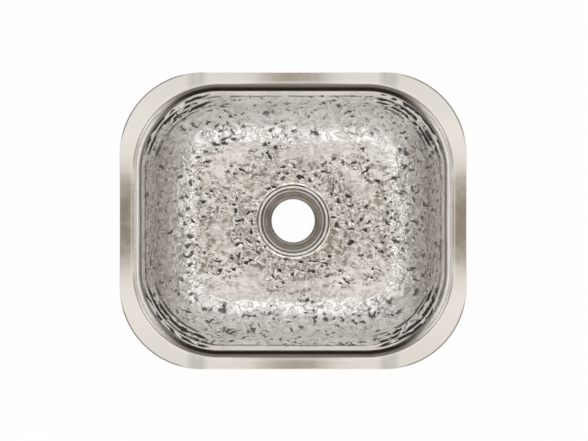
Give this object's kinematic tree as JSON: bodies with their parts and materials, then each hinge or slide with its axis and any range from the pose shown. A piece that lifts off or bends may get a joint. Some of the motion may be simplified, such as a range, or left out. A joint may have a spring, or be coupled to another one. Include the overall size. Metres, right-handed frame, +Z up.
{
  "type": "rectangular undermount sink",
  "caption": "Hammered stainless undermount bowl with a flat flange, a recessed drain hole, sound pads and fixing plates that swing out from under the flange.",
  "frame": {"origin": "centre of the flange's top face, in the plane where the countertop's underside lies", "axes": "+Z up, out of the bowl; +X to the right along the longer side; +Y to the back"},
  "size_m": [0.368, 0.315, 0.1764],
  "materials": {
    "stainless": "warm nickel-like stainless steel, hammered inside and softly polished on the flange",
    "zinc_plate": "bright zinc plate",
    "pad_rubber": "matt dark grey"
  },
  "bodies": {
    "bowl": {"basin": "stainless", "front_left_stud": "stainless", "front_right_stud": "stainless", "back_left_stud": "stainless", "back_right_stud": "stainless", "left_stud": "stainless", "right_stud": "stainless", "back_wall_pad": "pad_rubber", "left_wall_pad": "pad_rubber", "front_wall_pad": "pad_rubber", "right_wall_pad": "pad_rubber", "left_floor_pad": "pad_rubber", "right_floor_pad": "pad_rubber"},
    "front_left_washer_body": {"front_left_washer": "zinc_plate"},
    "front_left_plate_body": {"front_left_plate": "zinc_plate"},
    "front_left_nut_body": {"front_left_wing_nut": "zinc_plate"},
    "front_right_washer_body": {"front_right_washer": "zinc_plate"},
    "front_right_plate_body": {"front_right_plate": "zinc_plate"},
    "front_right_nut_body": {"front_right_wing_nut": "zinc_plate"},
    "back_left_washer_body": {"back_left_washer": "zinc_plate"},
    "back_left_plate_body": {"back_left_plate": "zinc_plate"},
    "back_left_nut_body": {"back_left_wing_nut": "zinc_plate"},
    "back_right_washer_body": {"back_right_washer": "zinc_plate"},
    "back_right_plate_body": {"back_right_plate": "zinc_plate"},
    "back_right_nut_body": {"back_right_wing_nut": "zinc_plate"},
    "left_washer_body": {"left_washer": "zinc_plate"},
    "left_plate_body": {"left_plate": "zinc_plate"},
    "left_nut_body": {"left_wing_nut": "zinc_plate"},
    "right_washer_body": {"right_washer": "zinc_plate"},
    "right_plate_body": {"right_plate": "zinc_plate"},
    "right_nut_body": {"right_wing_nut": "zinc_plate"}
  },
  "joints": [
    {"name": "front_left_nut_travel", "type": "slide", "parent": "bowl", "child": "front_left_washer_body", "axis": [0, 0, -1], "range_m": [0, 0.0016]},
    {"name": "front_left_nut_turn", "type": "hinge", "parent": "front_left_washer_body", "child": "front_left_nut_body", "pos_m": [-0.075, -0.1505, -0.0075], "axis": [0, 0, -1], "range_deg": [0, 720]},
    {"name": "front_left_plate_swing", "type": "hinge", "parent": "front_left_washer_body", "child": "front_left_plate_body", "pos_m": [-0.075, -0.1505, -0.003], "axis": [0, 0, -1], "range_deg": [0, 180]},
    {"name": "front_right_nut_travel", "type": "slide", "parent": "bowl", "child": "front_right_washer_body", "axis": [0, 0, -1], "range_m": [0, 0.0016]},
    {"name": "front_right_nut_turn", "type": "hinge", "parent": "front_right_washer_body", "child": "front_right_nut_body", "pos_m": [0.075, -0.1505, -0.0075], "axis": [0, 0, -1], "range_deg": [0, 720]},
    {"name": "front_right_plate_swing", "type": "hinge", "parent": "front_right_washer_body", "child": "front_right_plate_body", "pos_m": [0.075, -0.1505, -0.003], "axis": [0, 0, 1], "range_deg": [0, 180]},
    {"name": "back_left_nut_travel", "type": "slide", "parent": "bowl", "child": "back_left_washer_body", "axis": [0, 0, -1], "range_m": [0, 0.0016]},
    {"name": "back_left_nut_turn", "type": "hinge", "parent": "back_left_washer_body", "child": "back_left_nut_body", "pos_m": [-0.075, 0.1505, -0.0075], "axis": [0, 0, -1], "range_deg": [0, 720]},
    {"name": "back_left_plate_swing", "type": "hinge", "parent": "back_left_washer_body", "child": "back_left_plate_body", "pos_m": [-0.075, 0.1505, -0.003], "axis": [0, 0, 1], "range_deg": [0, 180]},
    {"name": "back_right_nut_travel", "type": "slide", "parent": "bowl", "child": "back_right_washer_body", "axis": [0, 0, -1], "range_m": [0, 0.0016]},
    {"name": "back_right_nut_turn", "type": "hinge", "parent": "back_right_washer_body", "child": "back_right_nut_body", "pos_m": [0.075, 0.1505, -0.0075], "axis": [0, 0, -1], "range_deg": [0, 720]},
    {"name": "back_right_plate_swing", "type": "hinge", "parent": "back_right_washer_body", "child": "back_right_plate_body", "pos_m": [0.075, 0.1505, -0.003], "axis": [0, 0, -1], "range_deg": [0, 180]},
    {"name": "left_nut_travel", "type": "slide", "parent": "bowl", "child": "left_washer_body", "axis": [0, 0, -1], "range_m": [0, 0.0016]},
    {"name": "left_nut_turn", "type": "hinge", "parent": "left_washer_body", "child": "left_nut_body", "pos_m": [-0.177, -0.016, -0.0075], "axis": [0, 0, -1], "range_deg": [0, 720]},
    {"name": "left_plate_swing", "type": "hinge", "parent": "left_washer_body", "child": "left_plate_body", "pos_m": [-0.177, -0.016, -0.003], "axis": [0, 0, 1], "range_deg": [0, 180]},
    {"name": "right_nut_travel", "type": "slide", "parent": "bowl", "child": "right_washer_body", "axis": [0, 0, -1], "range_m": [0, 0.0016]},
    {"name": "right_nut_turn", "type": "hinge", "parent": "right_washer_body", "child": "right_nut_body", "pos_m": [0.177, 0.016, -0.0075], "axis": [0, 0, -1], "range_deg": [0, 720]},
    {"name": "right_plate_swing", "type": "hinge", "parent": "right_washer_body", "child": "right_plate_body", "pos_m": [0.177, 0.016, -0.003], "axis": [0, 0, 1], "range_deg": [0, 180]}
  ],
  "couplings": [
    {"joint": "front_left_nut_turn", "follows": "front_left_nut_travel", "rad_per_m": 7854},
    {"joint": "front_right_nut_turn", "follows": "front_right_nut_travel", "rad_per_m": 7854},
    {"joint": "back_left_nut_turn", "follows": "back_left_nut_travel", "rad_per_m": 7854},
    {"joint": "back_right_nut_turn", "follows": "back_right_nut_travel", "rad_per_m": 7854},
    {"joint": "left_nut_turn", "follows": "left_nut_travel", "rad_per_m": 7854},
    {"joint": "right_nut_turn", "follows": "right_nut_travel", "rad_per_m": 7854}
  ]
}
